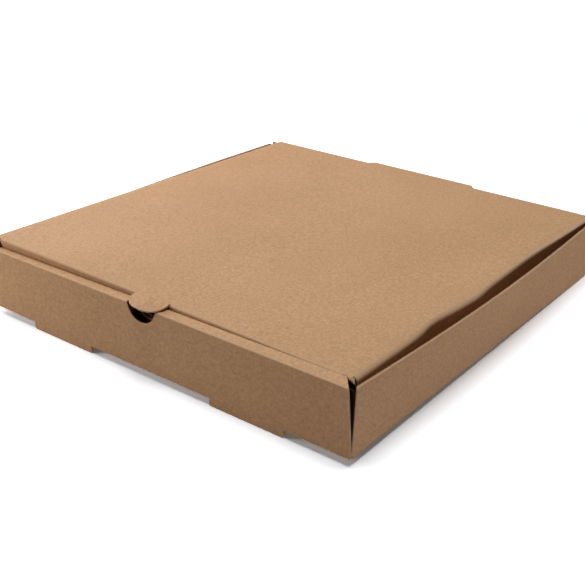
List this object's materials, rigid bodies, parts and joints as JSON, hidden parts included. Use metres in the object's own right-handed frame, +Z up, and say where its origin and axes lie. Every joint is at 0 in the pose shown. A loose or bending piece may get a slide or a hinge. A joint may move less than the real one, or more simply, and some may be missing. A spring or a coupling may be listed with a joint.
{
  "type": "pizza box",
  "caption": "Plain brown corrugated pizza box with a rolled-over front wall, thumb notch, locking feet and a hinged lid with tucked flaps.",
  "frame": {"origin": "bottom centre of the box's bounding box, at the level of its feet", "axes": "+X to the right seen from the front, +Y from the front wall to the hinge, +Z up"},
  "size_m": [0.3184, 0.3262, 0.0563],
  "materials": {
    "tray_board": "matte brown kraft liner",
    "lid_board": "matte brown kraft liner"
  },
  "bodies": {
    "tray": {"tray": "tray_board"},
    "lid": {"lid": "lid_board"}
  },
  "joints": [
    {"name": "lid_hinge", "type": "hinge", "parent": "tray", "child": "lid", "pos_m": [0, 0.15836, 0.05115], "axis": [-1, 0, 0], "range_deg": [0, 180]}
  ]
}
